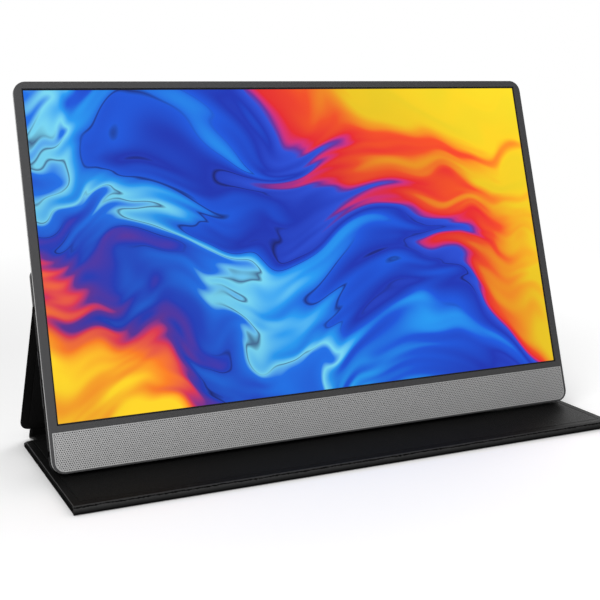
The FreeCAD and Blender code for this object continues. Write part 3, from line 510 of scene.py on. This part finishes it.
def skin_piece(name, panel, radii, materials, body, rim_colour, side_tone):
    """Leather skin of a stiff panel: rounded rim, turned-in border and a pressed line on the outside."""
    depth = panel.thickness
    rows = list(BORDER_SECTION)
    rim_rows = range(len(rows), len(rows) + 2)
    rows += round_edge(EDGE_ROUND, 0.0, 1)
    rows += round_edge(EDGE_ROUND, depth, -1)
    side = range(rim_rows.stop, len(rows) - 1)
    for offset, sink in PRESS_SECTION:
        rows.append((PRESS_LINE + offset * MM, depth - sink * PRESS_DEPTH))
    rings = [ring(panel, inset, level, radii) for inset, level in rows]
    points, faces = joined_rings(rings)
    made = piece(name + "_cover", points, faces, materials, "leather_black", (name + "_skin",), body)
    for other in ("leather_turn_shade", rim_colour, side_tone):
        made.data.materials.append(materials[other])
    count = len(rings[0])
    # A rim that goes on into a fold takes the border's painted shade instead of the rim's tone
    folds = [step for step, radius in ((CORNER_STEPS, radii[0]), (3 * CORNER_STEPS + 2, radii[2]))
             if radius == SQUARE_CORNER]
    tones = []
    for index in range(len(faces) - 2):
        row, step = divmod(index, count)
        # Sides take a near black copy of the leather: painted shade
        if row in side:
            tones.append(SIDE)
        # Rim rows take the rim's tone: a painted highlight on the base and flap
        elif row in rim_rows and step not in folds:
            tones.append(RIM_TONE)
        else:
            # Border rows take a darker copy of the leather: painted shade
            tones.append(BORDER if row < side.start else FACE)
    made.data.polygons.foreach_set("material_index", tones + [BORDER, FACE])


def lining_piece(name, panel, materials, body, replaced, grooves=()):
    """Thin lining sheet with softened edges and, on the base, pressed grooves across it."""
    length = panel.s1 - panel.s0
    low = panel.thickness - LINING_BED
    rim = [(LINING_SOFT * inset, LINING_SOFT * sink) for inset, sink in LINING_SECTION]
    top = list(rim)
    for middle in grooves:
        for share, sink in GROOVE_SECTION:
            top.append((middle + share * GROOVE_WIDTH, sink * GROOVE_DEPTH))
    top += [(length - inset, sink) for inset, sink in reversed(rim)]
    section = [(top[0][0], low)] + top + [(top[-1][0], low)]
    across = [(panel.x0 + inset, sink) for inset, sink in rim]
    across += [(panel.x1 - inset, sink) for inset, sink in reversed(rim)]
    rings = [[panel.at(x, s, max(t, sink)) for s, t in section] for x, sink in across]
    points, faces = joined_rings(rings)
    piece(name, points, faces, materials, "lining_black", replaced, body)


def offset_sheet(path, thickness):
    """Closed section of a sheet of even thickness along a line of points in the y, z plane."""
    sides = ([], [])
    for index, point in enumerate(path):
        before = path[max(index - 1, 0)]
        after = path[min(index + 1, len(path) - 1)]
        way = (after - before).normalized()
        normal = Vector((0, -way.z, way.y)) * (thickness / 2)
        sides[0].append(point + normal)
        sides[1].append(point - normal)
    return sides[0] + sides[1][::-1]


def soft_strip(name, section, half, materials, replaced, wrinkle, stations=160):
    """Soft band drawn along x, with small uneven creases and one side in the turned-in border's darker tone, which
    is painted shade.
    """
    rings = []
    for index in range(stations + 1):
        x = half * (2 * index / stations - 1)
        row = []
        for point in section:
            place = Vector((x * WRINKLE_ALONG, point.y * WRINKLE_ACROSS, point.z * WRINKLE_ACROSS))
            push = noise.noise(place) * wrinkle
            row.append(Vector((x, point.y, point.z + push)))
        rings.append(row)
    points, faces = joined_rings(rings)
    strip = piece(name, points, faces, materials, "leather_black", replaced)
    strip.data.materials.append(materials["leather_turn_shade"])
    half_count = len(section) // 2
    # One side takes the darker leather as painted shade
    shaded_faces = [int(index % len(section) < half_count) for index in range(len(faces))]
    strip.data.polygons.foreach_set("material_index", shaded_faces)
    return strip


def bent_path(points, reach, steps=14):
    """Line through points that rounds each corner within a reach on each side."""
    path = [points[0]]
    for first, corner, last in zip(points, points[1:], points[2:]):
        enter = corner + (first - corner).normalized() * reach
        leave = corner + (last - corner).normalized() * reach
        path.append(path[-1].lerp(enter, 0.5))
        for step in range(steps + 1):
            share = step / steps
            path.append(enter.lerp(corner, share).lerp(corner.lerp(leave, share), share))
    return path + [path[-1].lerp(points[-1], 0.5), points[-1]]


def hem_reach(turn):
    """How far the roll stands out at an angle: round above its nose and fuller below it."""
    if turn <= math.pi:
        return 1.0
    sides = abs(math.cos(turn)) ** HEM_FOOT_POWER + abs(math.sin(turn)) ** HEM_FOOT_POWER
    return sides ** (-1 / HEM_FOOT_POWER)


def make_hem(materials, base):
    """Rolled front edge of the cover, with a ragged crease along its top where it leaves the stiff panel, and
    painted shade in near black along the crease.
    """
    roll = Vector(joints["flap_fold"]["pos_m"])
    radius = roll.z
    inner = [Vector((0, base.s0, roll.z - radius + SOFT))]
    for angle in range(270, 89, -15):
        turn = math.radians(angle)
        inner.append(roll + Vector((0, math.cos(turn), math.sin(turn))) * (radius - SOFT))
    inner.append(Vector((0, base.s0, roll.z + radius - SOFT)))
    middles = [HEM_ANGLES[0]] + [(low + high) / 2 for low, high in zip(HEM_ANGLES, HEM_ANGLES[1:])]
    rings = []
    shaded_faces = []
    for station in range(HEM_STATIONS + 1):
        x = base.x1 * (2 * station / HEM_STATIONS - 1)
        wander = [noise.noise(Vector((x * often, often, 0.5))) for often in HEM_WANDER_RATES]
        centre = HEM_CREASE + 5.0 * wander[0] + 4.0 * wander[1] + 3.0 * wander[2]
        depth = HEM_CREASE_DEPTH * (0.75 + 0.5 * wander[1] + 0.5 * wander[2])
        width = HEM_CREASE_WIDTH * (1.0 + 0.5 * wander[2] + 0.7 * wander[3])
        row = [Vector((x, base.s0, roll.z + radius))]
        for angle in HEM_ANGLES:
            turn = math.radians(angle)
            sink = depth * math.exp(-((angle - centre) / HEM_CREASE_WIDTH) ** 2)
            ripple = noise.noise(Vector((x * 300, angle * 0.05, 7.0)))
            ripple *= HEM_RIPPLE * math.sin(turn - math.pi / 2)
            out = (radius - sink - abs(ripple)) * hem_reach(turn)
            row.append(Vector((x, roll.y + out * math.cos(turn), roll.z + out * math.sin(turn))))
        row.append(Vector((x, base.s0, roll.z - radius)))
        row += [Vector((x, point.y, point.z)) for point in inner]
        rings.append(row)
        # Faces near the crease take painted shade
        near = [int(abs(angle - centre) < width) for angle in middles]
        shaded_faces += near + [0] * (len(row) - len(near))
    points, faces = joined_rings(rings)
    hem = piece("front_hem", points, faces, materials, "leather_black", ("front_fold",))
    # The roll takes the lighter leather as a painted highlight, darkened towards the bottom by painted shade
    hem.data.materials[0] = materials["leather_roll_lit_shaded"]
    hem.data.materials.append(materials["crease_shade"])
    hem.data.polygons.foreach_set("material_index", shaded_faces[:len(faces) - 2] + [0, 0])
    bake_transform(hem)


def make_cover(materials):
    """Leather panels, linings and soft folds."""
    leg, base, flap, strip = (Panel(name + "_skin") for name in ("leg", "base", "flap", "strip"))
    foot_free = (FOOT_CORNER, FOOT_CORNER, SQUARE_CORNER, SQUARE_CORNER)
    low_free = (FREE_CORNER, FREE_CORNER, SQUARE_CORNER, SQUARE_CORNER)
    high_free = (SQUARE_CORNER, SQUARE_CORNER, FREE_CORNER, FREE_CORNER)
    skin_piece("leg", leg, foot_free, materials, "leg", "leather_side_shade", "leather_side_shade")
    skin_piece("base", base, high_free, materials, "base", "leather_edge_highlight", "leather_side_shade")
    skin_piece("flap", flap, low_free, materials, "flap", "leather_edge_highlight", "leather_side_shade")
    skin_piece("strip", strip, high_free, materials, "monitor", "leather_black", "leather_black")
    base_lining = Panel("base_lining", base.out)
    groove = GROOVE_PLACE - base_lining.s0
    grooves = (groove, groove + GROOVE_PITCH)
    lining_piece("base_inside", base_lining, materials, "base", ("base_lining",), grooves)
    lining_piece("leg_inside", Panel("leg_lining", leg.out), materials, "leg", ("leg_lining",))
    lining_piece("flap_inside", Panel("flap_lining", flap.out), materials, "flap", ("flap_lining",))

    half = leg.thickness / 2
    crease = Vector(joints["leg_hinge"]["pos_m"])
    leg_foot = leg.at(0, 0, half)
    base_rear = base.at(0, base.s1 - base.s0, half)
    spine_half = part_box("spine_band")[1].x
    knee = Vector((0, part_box("flap_skin")[1].y, base_rear.z))
    path = bent_path([base_rear, knee, crease, leg_foot], SPINE_BEND)
    spine = soft_strip("spine_cover", offset_sheet(path, SOFT), spine_half, materials, ("spine_band",),
                       SPINE_WRINKLE)
    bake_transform(spine)

    leg_head = leg.at(0, leg.s1 - leg.s0, half)
    strip_foot = strip.at(0, 0, strip.thickness - SOFT / 2)
    middle = leg_head.lerp(strip_foot, 0.5) + strip.out * TOP_BULGE
    path = bent_path([leg_head, middle, strip_foot], TOP_BEND, TOP_BEND_STEPS)
    fold = soft_strip("top_fold_cover", offset_sheet(path, SOFT), leg.x1, materials, ("top_fold",), TOP_WRINKLE)
    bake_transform(fold)

    make_hem(materials, base)


def make_grille(materials, back):
    """Perforated chin plate: a fine hole field under a narrow smooth rim."""
    panel = Panel("chin_grille", back)
    radii = (GRILLE_CORNER, GRILLE_CORNER, SQUARE_CORNER, SQUARE_CORNER)
    soft, bevel = GRILLE_SOFT, GRILLE_SOFT * 0.3
    section = [(RIM_WIDTH, GRILLE_FLOOR), (RIM_WIDTH, soft), (RIM_WIDTH - bevel, bevel),
               (RIM_WIDTH - soft, 0.0), (soft, 0.0), (bevel, bevel), (0.0, soft), (0.0, panel.thickness),
               (RIM_WIDTH, panel.thickness)]
    points, faces = joined_rings([ring(panel, inset, level, radii) for inset, level in section])
    piece("grille_rim", points, faces, materials, "grille_grey", ("chin_grille",), "monitor")

    rise = HOLE_PITCH * math.sqrt(3) / 2
    length = panel.s1 - panel.s0
    rows = int((length - RIM_WIDTH) / rise)
    columns = int((panel.x1 - panel.x0 - RIM_WIDTH) / HOLE_PITCH)
    reach = HOLE_PITCH / math.sqrt(3)
    turns = [math.radians(60 * step + 30) for step in range(6)]
    found = {}
    points, faces, hole_shade = [], [], []

    def corner(x, s):
        key = (round(x / CORNER_GRID), round(s / CORNER_GRID))
        if key not in found:
            found[key] = len(points)
            points.append(panel.at(x, s, MESH_SINK))
        return found[key]

    for row in range(rows):
        s = length / 2 + (row - (rows - 1) / 2) * rise
        shift = HOLE_PITCH / 2 if row % 2 else 0.0
        for column in range(columns):
            x = (column - (columns - 1) / 2) * HOLE_PITCH + shift - HOLE_PITCH / 4
            over = GRILLE_CORNER - min(x - panel.x0, panel.x1 - x)
            under = GRILLE_CORNER - s
            if over > 0 and under > 0 and math.hypot(over, under) > GRILLE_CORNER - RIM_WIDTH / 2:
                continue
            outer = [corner(x + reach * math.cos(turn), s + reach * math.sin(turn)) for turn in turns]
            start = len(points)
            for level in (MESH_SINK, MESH_SINK + HOLE_DEPTH):
                for turn in turns:
                    points.append(panel.at(x + HOLE_RADIUS * math.cos(turn), s + HOLE_RADIUS * math.sin(turn),
                                           level))
            for step in range(6):
                after = (step + 1) % 6
                faces.append((outer[step], outer[after], start + after, start + step))
                faces.append((start + step, start + after, start + 6 + after, start + 6 + step))
                hole_shade += [0, 1]
            faces.append(tuple(range(start + 6, start + 12)))
            hole_shade.append(1)
    field = piece("grille_mesh", points, faces, materials, "grille_grey", (), "monitor", smooth=False)
    # Walls and floors of the holes take painted shade
    field.data.materials.append(materials["grille_hole_shade"])
    field.data.polygons.foreach_set("material_index", hole_shade)


def make_stage():
    """White floor that keeps the shadow near the object and fades into the white surroundings."""
    mesh = bpy.data.meshes.new("floor")
    corners = [(x * FLOOR_REACH, y * FLOOR_REACH, FLOOR_DROP) for x, y in ((-1, -1), (1, -1), (1, 1), (-1, 1))]
    mesh.from_pydata(corners, [], [(0, 1, 2, 3)])
    floor = bpy.data.objects.new("floor", mesh)
    bpy.context.scene.collection.objects.link(floor)
    shader = Shader("floor_white")
    path = shader.add("ShaderNodeLightPath")
    seen = shader.math("MAXIMUM", path.outputs["Is Camera Ray"], path.outputs["Is Glossy Ray"])
    seen = shader.math("MAXIMUM", seen, path.outputs["Is Transmission Ray"])
    away = shader.add("ShaderNodeVectorMath", {0: shader.place}, operation="LENGTH").outputs["Value"]
    fade = shader.math("MULTIPLY", shader.span(away, 0.0, 1.0, *FLOOR_FADE_SPAN), seen)
    grain = shader.noise(300.0).outputs[0]
    open_sky = shader.add("ShaderNodeAmbientOcclusion", {"Distance": CONTACT_REACH}).outputs["AO"]
    contact = shader.span(open_sky, CONTACT_TONE, 1.0)
    paper = shader.ramp(grain, [(0.0, (0.91, 0.91, 0.91, 1.0)), (1.0, (0.94, 0.94, 0.94, 1.0))])
    grey = shader.add("ShaderNodeCombineXYZ", {0: contact, 1: contact, 2: contact}).outputs[0]
    matt = shader.add("ShaderNodeBsdfDiffuse", {"Color": shader.mix("MULTIPLY", 1.0, paper, grey)})
    side = shader.add("ShaderNodeSeparateXYZ", {0: shader.place}).outputs["X"]
    lift = shader.math("MULTIPLY", shader.math("MULTIPLY", seen, contact),
                       shader.span(side, *FLOOR_LIFT, *FLOOR_LIFT_SPAN))
    pale = shader.add("ShaderNodeEmission", {"Color": WHITE, "Strength": lift})
    near = shader.add("ShaderNodeAddShader", {0: matt.outputs[0], 1: pale.outputs[0]})
    glow = shader.add("ShaderNodeEmission", {"Color": WHITE, "Strength": 1.0})
    blend = shader.add("ShaderNodeMixShader", {0: fade, 1: near.outputs[0], 2: glow.outputs[0]})
    output = shader.tree.nodes["Material Output"]
    shader.tree.links.new(blend.outputs[0], output.inputs["Surface"])
    mesh.materials.append(shader.material)


def make_world():
    """White surroundings to look at, and a softer even light from all sides."""
    world = bpy.data.worlds.new("studio")
    bpy.context.scene.world = world
    world.use_nodes = True
    tree = world.node_tree
    path = tree.nodes.new("ShaderNodeLightPath")
    seen = path.outputs["Is Camera Ray"]
    for ray in ("Is Transmission Ray", "Is Glossy Ray"):
        either = tree.nodes.new("ShaderNodeMath")
        either.operation = "MAXIMUM"
        tree.links.new(seen, either.inputs[0])
        tree.links.new(path.outputs[ray], either.inputs[1])
        seen = either.outputs[0]
    level = tree.nodes.new("ShaderNodeMapRange")
    tree.links.new(seen, level.inputs["Value"])
    level.inputs["To Min"].default_value = WORLD_LIGHT
    level.inputs["To Max"].default_value = 1.0
    background = tree.nodes["Background"]
    background.inputs["Color"].default_value = WHITE
    tree.links.new(level.outputs[0], background.inputs["Strength"])


def area_lamp(name, place, target, size, power):
    """Soft square lamp aimed at a point."""
    data = bpy.data.lights.new(name, "AREA")
    data.size = size
    data.energy = power
    lamp = bpy.data.objects.new(name, data)
    lamp.location = place
    lamp.rotation_euler = (Vector(target) - Vector(place)).to_track_quat("-Z", "Y").to_euler()
    bpy.context.scene.collection.objects.link(lamp)


def make_camera():
    """Camera at the photograph's place and angle."""
    data = bpy.data.cameras.new("camera")
    data.sensor_width = CAMERA_SENSOR
    data.lens = CAMERA_LENS
    data.shift_x, data.shift_y = CAMERA_SHIFT
    camera = bpy.data.objects.new("camera", data)
    camera.location = CAMERA_PLACE
    camera.rotation_euler = (math.radians(90 - CAMERA_PITCH), 0, math.radians(-CAMERA_HEADING))
    bpy.context.scene.collection.objects.link(camera)
    bpy.context.scene.camera = camera


back = Vector(joints["menu_rock"]["axis"]).normalized()
materials = make_materials(Panel("screen_film", back), back)
dress_nodes(materials)
make_cover(materials)
make_grille(materials, back)
make_stage()
make_world()
for name, setting in LAMPS.items():
    area_lamp(name, *setting)
make_camera()
bpy.context.scene.view_settings.view_transform = "Standard"
